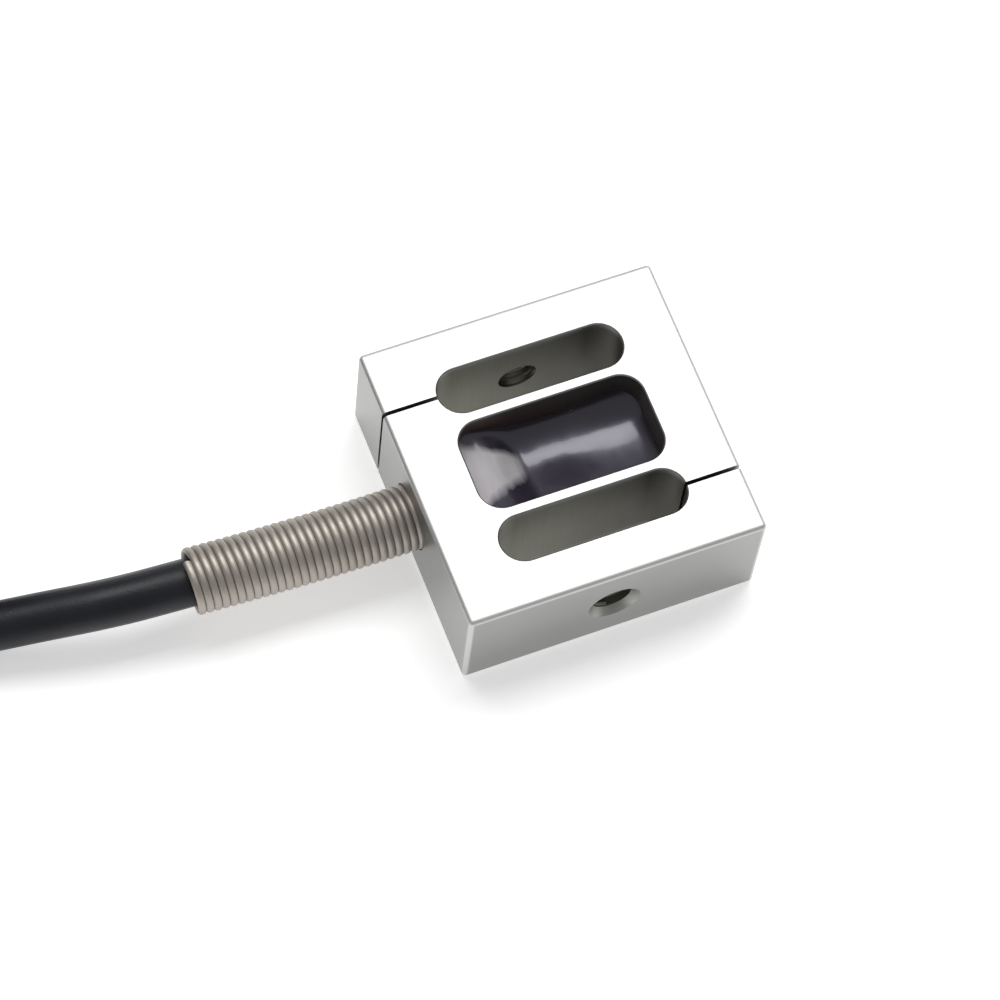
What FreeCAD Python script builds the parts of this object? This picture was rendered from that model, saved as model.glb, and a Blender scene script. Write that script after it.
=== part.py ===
import FreeCAD, Part
import math
import os

import Sketcher
from FreeCAD import Rotation, Vector

# Miniature S-beam load cell. The block lies on its back face: X runs across it, Y along the line
# of load from the lower threaded hole to the upper one, Z out of the front face. The origin is
# the middle of the back face. Millimetres.

SIZES = {
    # the block
    "body_width": 19.2,
    "body_height": 19.0,
    "body_thick": 8.0,
    "edge_radius": 0.3,
    "mouth_chamfer": 0.08,
    # the two slots that leave the arms free, the slits that open them, and the gauge window
    "slot_length": 12.0,
    "slot_width": 3.0,
    "slot_offset": 5.2,
    "slit_width": 0.25,
    "window_length": 12.0,
    "window_width": 6.0,
    "window_corner": 1.5,
    # M3 hole in each end
    "thread_core": 2.5,
    "thread_mouth": 3.4,
    # where the cable enters
    "cable_bore": 3.2,
    "seat_bore": 4.3,
    "seat_depth": 1.2,
    # close-wound strain relief
    "spring_outer": 4.2,
    "spring_wire": 0.48,
    "spring_pitch": 0.5,
    "spring_reach": 14.3,
    # cable
    "cable_diameter": 3.0,
    "sleeve_outer": 4.0,
    "sleeve_length": 1.2,
    "sleeve_gap": 0.15,
    # potting
    "fill_front": 3.0,
    "fill_rim": 0.7,
    "fill_sweep": 11.0,
    "fill_low_x": 0.7,
    "fill_back": 0.8,
    "fill_back_dip": 0.6,
    # gauges, bridge board and wires
    "gauge_length": 2.6,
    "gauge_width": 2.4,
    "gauge_thick": 0.1,
    "gauge_offset": 2.8,
    "board_length": 7.2,
    "board_width": 3.0,
    "board_thick": 0.6,
    "board_drop": 0.2,
    "resistor_x": 0.8,
    "resistor_length": 1.6,
    "resistor_width": 0.8,
    "resistor_thick": 0.45,
    "lead_width": 0.2,
    "lead_thick": 0.1,
    "lead_gap": 0.3,
    "inner_core": 0.6,
    "inner_core_spacing": 0.7,
    "solder_lap": 0.7,
    "lead_lap": 0.3,
    # cable coil, its tie and the bare end
    "coil_x": -51.2,
    "coil_y": 25.2,
    "coil_turn": -7.0,
    "coil_middle": 15.5,
    "coil_columns": 4.0,
    "coil_rows": 5.0,
    "tie_width": 2.6,
    "tie_thick": 0.7,
    "tie_proud": 0.4,
    "tie_angle": 45.0,
    "tie_head_width": 4.0,
    "tie_head_thick": 2.4,
    "shrink_diameter": 3.8,
    "shrink_end": 2.6,
    "shrink_lap": 2.4,
    "shrink_length": 8.4,
    "core_diameter": 0.7,
    "core_length": 14.0,
    "core_spacing": 1.0,
    "tip_diameter": 0.45,
    "tip_length": 4.0,
}

CORE_COLOURS = ("red", "black", "green", "white")
WIRE_SIDES = 8
CABLE_SIDES = 16


# ---------------------------------------------------------------- sheet and formulas

doc = FreeCAD.newDocument("s_type_load_cell")
sheet = doc.addObject("Spreadsheet::Sheet", "Sizes")
for row, (alias, number) in enumerate(SIZES.items(), start=1):
    sheet.set("A%d" % row, alias)
    sheet.set("B%d" % row, str(number))
    sheet.setAlias("B%d" % row, alias)
doc.recompute()


class Size:
    """A length with the sheet formula that gives it, so that both are written once."""

    def __init__(self, value, formula):
        self.value = float(value)
        self.formula = formula

    def __add__(self, other):
        other = as_size(other)
        return Size(self.value + other.value, "(%s + %s)" % (self.formula, other.formula))

    def __sub__(self, other):
        other = as_size(other)
        return Size(self.value - other.value, "(%s - %s)" % (self.formula, other.formula))

    def __mul__(self, other):
        other = as_size(other)
        return Size(self.value * other.value, "(%s * %s)" % (self.formula, other.formula))

    def __truediv__(self, other):
        other = as_size(other)
        return Size(self.value / other.value, "(%s / %s)" % (self.formula, other.formula))

    def __neg__(self):
        return Size(-self.value, "(-%s)" % self.formula)


def as_size(number):
    return number if isinstance(number, Size) else Size(number, repr(float(number)))


def cell(alias):
    return Size(sheet.get(alias), "Sizes." + alias)


def bind(target, path, size):
    target.setExpression(path, as_size(size).formula)


# ---------------------------------------------------------------- sketches and features

def new_body(name):
    body = doc.addObject("PartDesign::Body", name)
    body.Label = name
    return body


def origin_plane(body, role):
    return [part for part in body.Origin.OriginFeatures if part.Role == role][0]


def new_sketch(body, name, plane="XY_Plane", offset=None):
    sketch = body.newObject("Sketcher::SketchObject", name)
    sketch.AttachmentSupport = [(origin_plane(body, plane), "")]
    sketch.MapMode = "FlatFace"
    if offset is not None:
        bind(sketch, "AttachmentOffset.Base.z", offset)
    return sketch


def hold(sketch, kind, place, size):
    """Sets one dimension of a sketch and ties it to the sheet."""
    size = as_size(size)
    name = "d%d" % sketch.ConstraintCount
    if kind in ("DistanceX", "DistanceY") and size.value < 0:
        index = sketch.addConstraint(Sketcher.Constraint(kind, *place, -1, 1, -size.value))
        size = -size
    elif kind in ("DistanceX", "DistanceY"):
        index = sketch.addConstraint(Sketcher.Constraint(kind, -1, 1, *place, size.value))
    else:
        index = sketch.addConstraint(Sketcher.Constraint(kind, *place, size.value))
    sketch.renameConstraint(index, name)
    bind(sketch, "Constraints." + name, size)


def hold_point(sketch, place, x, y):
    hold(sketch, "DistanceX", place, x)
    hold(sketch, "DistanceY", place, y)


def add_polygon(sketch, points):
    points = [(as_size(x), as_size(y)) for x, y in points]
    corners = [Vector(x.value, y.value, 0) for x, y in points]
    first = sketch.GeometryCount
    for number, corner in enumerate(corners):
        sketch.addGeometry(Part.LineSegment(corner, corners[(number + 1) % len(corners)]), False)
    for number, (x, y) in enumerate(points):
        before = first + (number - 1) % len(points)
        sketch.addConstraint(Sketcher.Constraint("Coincident", before, 2, first + number, 1))
        hold_point(sketch, (first + number, 1), x, y)


def add_box(sketch, x, y, length, width):
    """A rectangle about its middle point."""
    half_x = as_size(length) / 2
    half_y = as_size(width) / 2
    x = as_size(x)
    y = as_size(y)
    add_polygon(sketch, [(x - half_x, y - half_y), (x + half_x, y - half_y),
                         (x + half_x, y + half_y), (x - half_x, y + half_y)])


def add_axis(sketch, start, end):
    """A construction line that a turned feature turns about."""
    ends = [Vector(as_size(x).value, as_size(y).value, 0) for x, y in (start, end)]
    line = sketch.addGeometry(Part.LineSegment(*ends), True)
    hold_point(sketch, (line, 1), *start)
    hold_point(sketch, (line, 2), *end)


def add_circle(sketch, x, y, diameter):
    middle = Vector(as_size(x).value, as_size(y).value, 0)
    radius = as_size(diameter) / 2
    geometry = sketch.addGeometry(Part.Circle(middle, Vector(0, 0, 1), radius.value), False)
    hold_point(sketch, (geometry, 3), x, y)
    hold(sketch, "Radius", (geometry,), radius)


def add_round_corners(sketch, centres, radius):
    """A closed outline of equal arcs joined by tangent lines; each centre comes with its arc's
    start and end angle in degrees, and the arcs follow each other anticlockwise."""
    arcs = []
    for x, y, start, end in centres:
        circle = Part.Circle(Vector(x.value, y.value, 0), Vector(0, 0, 1), radius.value)
        arc = Part.ArcOfCircle(circle, math.radians(start), math.radians(end))
        arcs.append(sketch.addGeometry(arc, False))
    for number, arc in enumerate(arcs):
        following = arcs[(number + 1) % len(arcs)]
        side = Part.LineSegment(sketch.getPoint(arc, 2), sketch.getPoint(following, 1))
        line = sketch.addGeometry(side, False)
        sketch.addConstraint(Sketcher.Constraint("Tangent", arc, 2, line, 1))
        sketch.addConstraint(Sketcher.Constraint("Tangent", line, 2, following, 1))
    for arc, (x, y, start, end) in zip(arcs, centres):
        hold_point(sketch, (arc, 3), x, y)
        hold(sketch, "Radius", (arc,), radius)


def add_slot(sketch, y, length, width):
    reach = (length - width) / 2
    add_round_corners(sketch, [(reach, y, -90, 90), (-reach, y, 90, 270)], width / 2)


def add_window(sketch, length, width, corner):
    x = length / 2 - corner
    y = width / 2 - corner
    add_round_corners(sketch, [(x, y, 0, 90), (-x, y, 90, 180),
                               (-x, -y, 180, 270), (x, -y, 270, 360)], corner)


def add_feature(body, kind, sketch, name, **settings):
    doc.recompute()
    feature = body.newObject("PartDesign::" + kind, name)
    feature.Profile = sketch
    for key, value in settings.items():
        if isinstance(value, Size):
            bind(feature, key, value)
        else:
            setattr(feature, key, value)
    doc.recompute()
    return feature


def dress(body, kind, base, edges, name, size):
    """A fillet or chamfer on the edges of the base feature that a rule picks."""
    doc.recompute()
    picked = ["Edge%d" % (number + 1) for number, edge in enumerate(base.Shape.Edges)
              if edges(edge)]
    feature = body.newObject("PartDesign::" + kind, name)
    feature.Base = (base, picked)
    bind(feature, "Radius" if kind == "Fillet" else "Size", size)
    doc.recompute()
    return feature


def place(target, x=0, y=0, z=0, axis=None, angle=0):
    if axis is not None:
        target.Placement = FreeCAD.Placement(Vector(0, 0, 0), Rotation(axis, as_size(angle).value))
        bind(target, "Placement.Rotation.Angle", angle)
    bind(target, "Placement.Base.x", x)
    bind(target, "Placement.Base.y", y)
    bind(target, "Placement.Base.z", z)


def add_block(name, length, width, thick, x, y, z):
    """A plain box by its middle in X and Y and its foot in Z."""
    block = doc.addObject("Part::Box", name)
    block.Label = name
    bind(block, "Length", length)
    bind(block, "Width", width)
    bind(block, "Height", thick)
    place(block, as_size(x) - as_size(length) / 2, as_size(y) - as_size(width) / 2, z)
    return block


def add_rod(name, diameter, length, x, y, z, sides=None):
    """A bar that runs from its start towards +X: round, or a thin wire with a few flat sides."""
    rod = doc.addObject("Part::Prism" if sides else "Part::Cylinder", name)
    rod.Label = name
    if sides:
        rod.Polygon = sides
    bind(rod, "Circumradius" if sides else "Radius", as_size(diameter) / 2)
    bind(rod, "Height", length)
    place(rod, x, y, z, Vector(0, 1, 0), 90)
    return rod


def cut_out(name, whole, pieces):
    """The whole with room cut in it for each piece in turn."""
    for piece in pieces:
        rest = doc.addObject("Part::Cut", "%s_round_%s" % (name, piece.Name))
        rest.Base = whole
        rest.Tool = piece
        whole = rest
    whole.Label = name
    return whole


# ---------------------------------------------------------------- the flexure block

middle_z = cell("body_thick") / 2
half_width = cell("body_width") / 2
half_height = cell("body_height") / 2
window_end = cell("window_length") / 2
window_wall = cell("window_width") / 2
cable_radius = cell("cable_diameter") / 2
board_top = middle_z - cell("board_drop")


def is_mouth_edge(edge):
    """True on the slot and window rims in the front and back faces."""
    box = edge.BoundBox
    in_face = box.ZLength < 1e-6 and min(abs(box.ZMin), abs(box.ZMin - 2 * middle_z.value)) < 1e-6
    reach_x = max(abs(box.XMin), abs(box.XMax))
    reach_y = max(abs(box.YMin), abs(box.YMax))
    slot_reach = (cell("slot_offset") + cell("slot_width") / 2).value
    return in_face and reach_x < cell("slot_length").value / 2 + 1e-6 and reach_y < slot_reach + 1e-6


def make_flexure():
    body = new_body("flexure_body")
    outline = new_sketch(body, "block_outline")
    add_box(outline, 0, 0, cell("body_width"), cell("body_height"))
    block = add_feature(body, "Pad", outline, "block", Length=cell("body_thick"))
    dress(body, "Fillet", block, lambda edge: True, "broken_edges", cell("edge_radius"))

    openings = new_sketch(body, "slots_and_window")
    add_slot(openings, cell("slot_offset"), cell("slot_length"), cell("slot_width"))
    add_slot(openings, -cell("slot_offset"), cell("slot_length"), cell("slot_width"))
    add_window(openings, cell("window_length"), cell("window_width"), cell("window_corner"))
    through = add_feature(body, "Pocket", openings, "through_openings",
                          Type="ThroughAll", Reversed=True)
    dress(body, "Chamfer", through, is_mouth_edge, "mouth_edges", cell("mouth_chamfer"))

    # each slit runs from the end of its slot out through one side, on opposite sides
    slits = new_sketch(body, "slits")
    slit_start = (cell("slot_length") - cell("slot_width")) / 2
    slit_end = half_width + cell("edge_radius")
    slit_length = slit_end - slit_start
    slit_x = slit_start + slit_length / 2
    add_box(slits, -slit_x, cell("slot_offset"), slit_length, cell("slit_width"))
    add_box(slits, slit_x, -cell("slot_offset"), slit_length, cell("slit_width"))
    add_feature(body, "Pocket", slits, "free_ends", Type="ThroughAll", Reversed=True)

    # threaded hole at its tapping size, countersunk at the end face, open into the slot
    core = cell("thread_core") / 2
    mouth = cell("thread_mouth") / 2
    slot_middle = cell("slot_offset")
    profile = new_sketch(body, "thread_profile", "YZ_Plane")
    add_axis(profile, (slot_middle, middle_z), (half_height, middle_z))
    add_polygon(profile, [(slot_middle, middle_z), (half_height, middle_z),
                          (half_height, middle_z + mouth),
                          (half_height - (mouth - core), middle_z + core),
                          (slot_middle, middle_z + core)])
    upper = add_feature(body, "Groove", profile, "upper_thread", Angle=360,
                        ReferenceAxis=(profile, ["Axis0"]))
    lower = body.newObject("PartDesign::Mirrored", "lower_thread")
    lower.Originals = [upper]
    lower.MirrorPlane = (origin_plane(body, "XZ_Plane"), [""])
    body.Tip = lower
    doc.recompute()

    # bore for the cable through the left wall, widened outside for the strain relief
    bore = new_sketch(body, "cable_bore_outline", "YZ_Plane", -half_width)
    add_circle(bore, 0, middle_z, cell("cable_bore"))
    add_feature(body, "Pocket", bore, "cable_bore", Reversed=True,
                Length=half_width - window_end)
    seat = new_sketch(body, "relief_seat_outline", "YZ_Plane", -half_width)
    add_circle(seat, 0, middle_z, cell("seat_bore"))
    add_feature(body, "Pocket", seat, "relief_seat", Reversed=True, Length=cell("seat_depth"))
    return body


# ---------------------------------------------------------------- inside the gauge window

gauge_face = window_wall - cell("gauge_thick")
gauge_middle = window_end - cell("gauge_offset")


def make_gauge(name, side_x, side_y):
    y = (window_wall - cell("gauge_thick") / 2) * side_y
    return add_block(name, cell("gauge_length"), cell("gauge_thick"), cell("gauge_width"),
                     gauge_middle * side_x, y, middle_z - cell("gauge_width") / 2)


def make_gauge_leads(name, side_x, side_y):
    """Two flat leads from the inner end of a gauge to the edge of the bridge board."""
    board_edge = cell("board_width") / 2 - cell("lead_lap")
    first = gauge_middle - (cell("gauge_length") - cell("lead_width")) / 2
    leads = []
    for number in range(2):
        x = (first + cell("lead_gap") * number) * side_x
        y = (gauge_face + board_edge) / 2 * side_y
        leads.append(add_block("%s_%d" % (name, number + 1), cell("lead_width"),
                               gauge_face - board_edge, cell("lead_thick"),
                               x, y, board_top))
    pair = doc.addObject("Part::Compound", name)
    pair.Label = name
    pair.Links = leads
    return pair


def make_board():
    return add_block("bridge_board", cell("board_length"), cell("board_width"),
                     cell("board_thick"), 0, 0, board_top - cell("board_thick"))


def make_resistor():
    return add_block("balance_resistor", cell("resistor_length"), cell("resistor_width"),
                     cell("resistor_thick"), cell("resistor_x"), 0, board_top)


jacket_end = window_end - cell("sleeve_gap") - cell("sleeve_length")


def make_inner_core(name, number):
    """A core of the cable, stripped of its jacket, from the jacket's end to its solder pad."""
    y = cell("inner_core_spacing") * (number - (len(CORE_COLOURS) - 1) / 2)
    pad_x = cell("board_length") / 2 - cell("solder_lap")
    return add_rod(name, cell("inner_core"), jacket_end - pad_x, -jacket_end, y,
                   board_top + cell("inner_core") / 2, WIRE_SIDES)


def make_sleeve():
    """Crimped ring that keeps the cable from being pulled out through its bore, clear of the
    rounded corners of the window."""
    body = new_body("crimp_sleeve")
    rings = new_sketch(body, "sleeve_rings", "YZ_Plane", cell("sleeve_gap") - window_end)
    add_circle(rings, 0, middle_z, cell("sleeve_outer"))
    add_circle(rings, 0, middle_z, cell("cable_diameter"))
    add_feature(body, "Pad", rings, "sleeve", Length=cell("sleeve_length"))
    return body


def make_potting(buried):
    """Compound poured into the window from both faces, and moulded round everything that it
    buries. The front sags between the ends of the window and stands higher over the cable."""
    body = new_body("potting_block")
    outline = new_sketch(body, "window_fill", "XY_Plane", cell("fill_back"))
    add_window(outline, cell("window_length"), cell("window_width"), cell("window_corner"))
    rim = cell("body_thick") - cell("fill_rim")
    add_feature(body, "Pad", outline, "fill", Length=rim - cell("fill_back"))

    sweep = new_sketch(body, "front_sag_outline", "XZ_Plane")
    add_circle(sweep, cell("fill_low_x"),
               cell("body_thick") - cell("fill_front") + cell("fill_sweep"), cell("fill_sweep") * 2)
    add_feature(body, "Pocket", sweep, "front_sag", Midplane=True, Type="Length",
                Length=cell("window_width"))

    dip = cell("fill_back_dip")
    radius = (window_wall * window_wall + dip * dip) / (dip * 2)
    trough = new_sketch(body, "back_trough_outline", "YZ_Plane")
    add_circle(trough, 0, cell("fill_back") - radius + dip, radius * 2)
    add_feature(body, "Pocket", trough, "back_trough", Midplane=True, Type="Length",
                Length=cell("window_length"))
    return cut_out("potting_compound", body, buried)


# ---------------------------------------------------------------- cable entry and strain relief

def make_cable_entry():
    """The straight stretch of cable held by the crimp sleeve and the strain relief."""
    start = half_width + cell("spring_reach")
    return add_rod("cable_entry", cell("cable_diameter"), start - jacket_end, -start, 0, middle_z)


def make_relief_spring():
    """Close-wound coils as one turned sleeve, with a sharp ridge for each coil."""
    body = new_body("relief_spring")
    profile = new_sketch(body, "coil_profile", "XZ_Plane")
    outside = cell("spring_outer") / 2
    inside = outside - cell("spring_wire")
    root = outside - cell("spring_wire") / 2
    length = cell("spring_reach") + cell("seat_depth")
    coils = round(length.value / cell("spring_pitch").value)
    pitch = length / coils
    points = [(inside, 0), (root, 0)]
    for coil in range(coils):
        points += [(outside, pitch * (coil + 0.5)), (root, pitch * (coil + 1))]
    points.append((inside, length))
    add_polygon(profile, points)
    add_feature(body, "Revolution", profile, "coils", Angle=360,
                ReferenceAxis=(profile, ["V_Axis"]))
    place(body, cell("seat_depth") - half_width, 0, middle_z, Vector(0, -1, 0), 90)
    return body


# ---------------------------------------------------------------- loose cable

coil_half_width = cell("coil_columns") * cable_radius
coil_height = cell("coil_rows") * cell("cable_diameter")
coil_inner = cell("coil_middle") - coil_half_width
coil_outer = cell("coil_middle") + coil_half_width
beside_coil = coil_outer + cable_radius
shrink_radius = cell("shrink_diameter") / 2
core_radius = cell("core_diameter") / 2


def beside(turn, origin, points):
    """Points given in a frame turned clockwise about Z and set down at its origin."""
    frame = FreeCAD.Placement(origin, Rotation(Vector(0, 0, -1), turn))
    return [frame.multVec(Vector(*point)) for point in points]


def rounded_path(points):
    """Straight runs joined by tangent arcs, each as large as its two runs allow."""
    edges = []
    start = points[0]
    for before, corner, after in zip(points, points[1:], points[2:]):
        into = (corner - before).normalize()
        out = (after - corner).normalize()
        setback = 0.45 * min(corner.distanceToPoint(before), corner.distanceToPoint(after))
        bend = into.getAngle(out)
        inside = (out - into).normalize()
        radius = setback / math.tan(bend / 2)
        middle = corner + inside * (radius / math.cos(bend / 2) - radius)
        entry = corner - into * setback
        leave = corner + out * setback
        edges.append(Part.LineSegment(start, entry).toShape())
        edges.append(Part.Arc(entry, middle, leave).toShape())
        print("    bend radius %.1f" % radius)
        start = leave
    edges.append(Part.LineSegment(start, points[-1]).toShape())
    return Part.Wire(edges)


def flat_sided(radius, sides):
    """The outline of a round section drawn with flat sides."""
    angles = [2 * math.pi * number / sides for number in range(sides + 1)]
    return Part.makePolygon([Vector(radius * math.cos(a), radius * math.sin(a), 0) for a in angles])


def make_tube(name, points, diameter, sides):
    path = rounded_path(points)
    section = flat_sided(diameter / 2, sides)
    section.Placement = FreeCAD.Placement(points[0], Rotation(Vector(0, 0, 1),
                                                              points[1] - points[0]))
    tube = path.makePipeShell([section], True, False)
    expected = Part.Face(section).Area * path.Length
    print("  %s length %.1f volume %.4f of expected" % (name, path.Length, tube.Volume / expected))
    piece = doc.addObject("Part::Feature", name)
    piece.Label = name
    piece.Shape = tube
    return piece


coil_origin = Vector(cell("coil_x").value, cell("coil_y").value, 0)
coil_turn = cell("coil_turn").value


def lead_route():
    """Out of the strain relief, down to the surface and along it to the side of the coil."""
    start = Vector(-(half_width + cell("spring_reach")).value, 0, middle_z.value)
    low = cable_radius.value
    middle = [Vector(-34.7, 1.55, 3.25), Vector(-41.55, 3.24, low)]
    joined = beside(coil_turn, coil_origin, [(0, -beside_coil.value, low)])
    return [start, start + Vector(-4.8, 0, 0)] + middle + joined


def tail_points():
    """Along the top of the coil to the bare end, in the coil's own frame."""
    side = -(coil_inner + cable_radius * 3).value
    top = (coil_height + cable_radius).value
    rest = (coil_height + shrink_radius).value
    return [(side, 0, top), (side, 4.2, top), (side + 1.4, 8.4, rest), (side + 4.1, 11.9, rest)]


def make_coil(cut_by):
    """Outer shape of the neat coil, drawn in where its tie holds it."""
    body = new_body("coil_ring")
    section = new_sketch(body, "coil_section", "XZ_Plane")
    add_box(section, cell("coil_middle"), coil_height / 2, coil_half_width * 2, coil_height)
    add_feature(body, "Revolution", section, "ring", Angle=360, ReferenceAxis=(section, ["V_Axis"]))
    place(body, cell("coil_x"), cell("coil_y"), 0, Vector(0, 0, -1), cell("coil_turn"))
    return cut_out("cable_coil", body, cut_by)


def make_tie():
    """Cable tie pulled into the coil: flush under it, a little proud elsewhere."""
    body = new_body("coil_tie")
    band = new_sketch(body, "band_section", "XZ_Plane")
    proud = cell("tie_proud")
    thick = cell("tie_thick")
    length = coil_outer - coil_inner + proud * 2
    width = coil_height + proud
    add_box(band, cell("coil_middle"), width / 2, length, width)
    add_box(band, cell("coil_middle"), width / 2, length - thick * 2, width - thick * 2)
    add_feature(body, "Pad", band, "band", Midplane=True, Length=cell("tie_width"))
    head = new_sketch(body, "head_section", "XZ_Plane")
    head_thick = cell("tie_head_thick")
    add_box(head, coil_outer + proud - thick / 2 + head_thick / 2, coil_height / 2,
            head_thick, cell("tie_head_width"))
    add_feature(body, "Pad", head, "head", Midplane=True, Length=cell("tie_head_width"))
    place(body, cell("coil_x"), cell("coil_y"), 0, Vector(0, 0, 1), cell("tie_angle"))
    return body


# ---------------------------------------------------------------- bare end of the cable

def end_frame():
    """Where the jacket ends and which way the cable points there."""
    end, before = beside(coil_turn, coil_origin, reversed(tail_points()[-2:]))
    heading = end - before
    return end, math.degrees(math.atan2(heading.x, heading.y))


def make_shrink():
    """Heat-shrink sleeve over the end of the jacket, drawn down onto the cores."""
    body = new_body("heat_shrink")
    profile = new_sketch(body, "sleeve_profile", "XY_Plane")
    lap = -cell("shrink_lap")
    shoulder = cable_radius
    end = cell("shrink_length") - cell("shrink_lap")
    add_polygon(profile, [(cable_radius, lap), (shrink_radius, lap), (shrink_radius, shoulder),
                          (cell("shrink_end") / 2, end), (0, end), (0, 0), (cable_radius, 0)])
    add_feature(body, "Revolution", profile, "sleeve", Angle=360,
                ReferenceAxis=(profile, ["V_Axis"]))
    end_point, heading = end_frame()
    place(body, end_point.x, end_point.y, end_point.z, Vector(0, 0, -1), heading)
    return body


def core_points(number, radius):
    """Route of one core from the end of the sleeve, curling round with the coil and down onto
    it. Cores that start one above the other part sideways first."""
    side = (-1, -1, 1, 1)[number]
    upper = number in (0, 3)
    turn = (90, 75, 105, 120)[number]
    out = cell("core_spacing").value / 2
    low = radius - shrink_radius.value
    heights = [0.35, -0.3, -1.05, low, low] if upper else [-0.9, -1.45, low, low, low]
    run = cell("core_length").value / len(heights)
    x, y = side * out, (cell("shrink_length") - cell("shrink_lap")).value
    route = [(x, y, out if upper else -out)]
    for share, height in zip((0, 0.3, 0.6, 0.85, 1), heights):
        heading = math.radians(turn * share)
        x += run * math.sin(heading)
        y += run * math.cos(heading)
        route.append((x, y, height))
    return route


def make_core(colour, number):
    """One insulated core; its wire and its tip are drawn with a few flat sides."""
    end_point, heading = end_frame()
    route = beside(heading, end_point, core_points(number, core_radius.value))
    core = make_tube("core_" + colour, route, cell("core_diameter").value, WIRE_SIDES)
    along = (route[-1] - route[-2]).normalize() * cell("tip_length").value
    section = Part.Face(flat_sided(cell("tip_diameter").value / 2, WIRE_SIDES))
    section.Placement = FreeCAD.Placement(route[-1], Rotation(Vector(0, 0, 1), along))
    tip = doc.addObject("Part::Feature", "tinned_tip_" + colour)
    tip.Shape = section.extrude(along)
    return core, tip


# ---------------------------------------------------------------- the assembly

def make_pieces():
    pieces = [make_flexure()]
    corners = {"upper_left": (-1, 1), "upper_right": (1, 1),
               "lower_left": (-1, -1), "lower_right": (1, -1)}
    buried = [make_gauge("strain_gauge_" + corner, *side) for corner, side in corners.items()]
    buried += [make_gauge_leads("gauge_leads_" + corner, *side) for corner, side in corners.items()]
    buried += [make_board(), make_resistor(), make_sleeve()]
    buried += [make_inner_core("inner_core_" + colour, number)
               for number, colour in enumerate(CORE_COLOURS)]
    entry = make_cable_entry()
    pieces += buried + [entry, make_potting(buried + [entry]), make_relief_spring()]

    lead = make_tube("cable_lead", lead_route(), cell("cable_diameter").value, CABLE_SIDES)
    tail = make_tube("cable_tail", beside(coil_turn, coil_origin, tail_points()),
                     cell("cable_diameter").value, CABLE_SIDES)
    tie = make_tie()
    pieces += [lead, tail, tie, make_coil([tie]), make_shrink()]

    cores, tips = zip(*[make_core(colour, number) for number, colour in enumerate(CORE_COLOURS)])
    tinned = doc.addObject("Part::Compound", "tinned_tips")
    tinned.Label = "tinned_tips"
    tinned.Links = list(tips)
    return pieces + list(cores) + [tinned]


def check_document():
    for thing in doc.Objects:
        if "Invalid" in thing.State or "Error" in thing.State:
            raise RuntimeError("%s failed: %s" % (thing.Label, thing.State))


def write_pieces(pieces):
    for piece in pieces:
        if piece.Shape.isNull() or not piece.Shape.isValid():
            raise RuntimeError("%s has no valid shape" % piece.Label)
    os.makedirs("parts", exist_ok=True)
    for piece in pieces:
        piece.Shape.exportStep("parts/%s.step" % piece.Label)
        print("%-28s %d solid(s) %10.3f mm3" % (piece.Label, len(piece.Shape.Solids),
                                                piece.Shape.Volume))


all_pieces = make_pieces()
doc.recompute()
check_document()
write_pieces(all_pieces)
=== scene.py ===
import math

import bmesh
import bpy
from mathutils import Matrix, Vector, noise


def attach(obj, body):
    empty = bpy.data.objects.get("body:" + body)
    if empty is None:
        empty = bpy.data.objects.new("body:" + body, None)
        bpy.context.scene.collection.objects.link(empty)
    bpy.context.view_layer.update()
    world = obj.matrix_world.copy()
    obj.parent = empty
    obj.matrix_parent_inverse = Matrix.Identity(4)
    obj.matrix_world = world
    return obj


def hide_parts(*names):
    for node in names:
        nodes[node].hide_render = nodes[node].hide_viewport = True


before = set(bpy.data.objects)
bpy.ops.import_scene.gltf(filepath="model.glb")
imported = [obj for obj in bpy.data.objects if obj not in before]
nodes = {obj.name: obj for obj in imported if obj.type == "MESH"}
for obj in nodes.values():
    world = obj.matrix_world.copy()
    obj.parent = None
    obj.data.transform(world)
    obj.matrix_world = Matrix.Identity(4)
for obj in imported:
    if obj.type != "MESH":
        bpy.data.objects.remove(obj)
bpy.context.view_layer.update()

mm = 0.001  # sizes below are in millimetres


# The view

viewSettings = {
    "place": (-58.982, -99.549, 244.866),
    "turn": (24.8862, -3.6440, -21.2834),  # degrees
    "lens": 157.15,
    "sensor": 36.0,
}


def addCamera(view):
    data = bpy.data.cameras.new("view")
    data.lens = view["lens"]
    data.sensor_width = view["sensor"]
    data.clip_start = 0.01
    data.clip_end = 20
    camera = bpy.data.objects.new("view", data)
    camera.location = Vector(view["place"]) * mm
    camera.rotation_euler = [math.radians(angle) for angle in view["turn"]]
    bpy.context.scene.collection.objects.link(camera)
    bpy.context.scene.camera = camera


addCamera(viewSettings)
bpy.context.scene.view_settings.view_transform = "Standard"
print("view ready")


# Finishes: shader maths on wrapped sockets

class Flow:  # a shader value that is added, scaled and compared like a number
    def __init__(self, finish, socket):
        self.finish = finish
        self.socket = socket

    def __add__(self, other):
        return self.finish.calc("ADD", self, other)

    __radd__ = __add__

    def __sub__(self, other):
        return self.finish.calc("SUBTRACT", self, other)

    def __rsub__(self, other):
        return self.finish.calc("SUBTRACT", other, self)

    def __mul__(self, other):
        return self.finish.calc("MULTIPLY", self, other)

    __rmul__ = __mul__

    def __abs__(self):
        return self.finish.calc("ABSOLUTE", self)

    def atMost(self, other):
        return self.finish.calc("MINIMUM", self, other)

    def atLeast(self, other):
        return self.finish.calc("MAXIMUM", self, other)

    def spread(self, low, high, start=0.0, end=1.0):  # low..high becomes start..end, clipped
        return self.finish.node("ShaderNodeMapRange", {"clamp": True}, {
            "Value": self, "From Min": low, "From Max": high, "To Min": start, "To Max": end})


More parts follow.
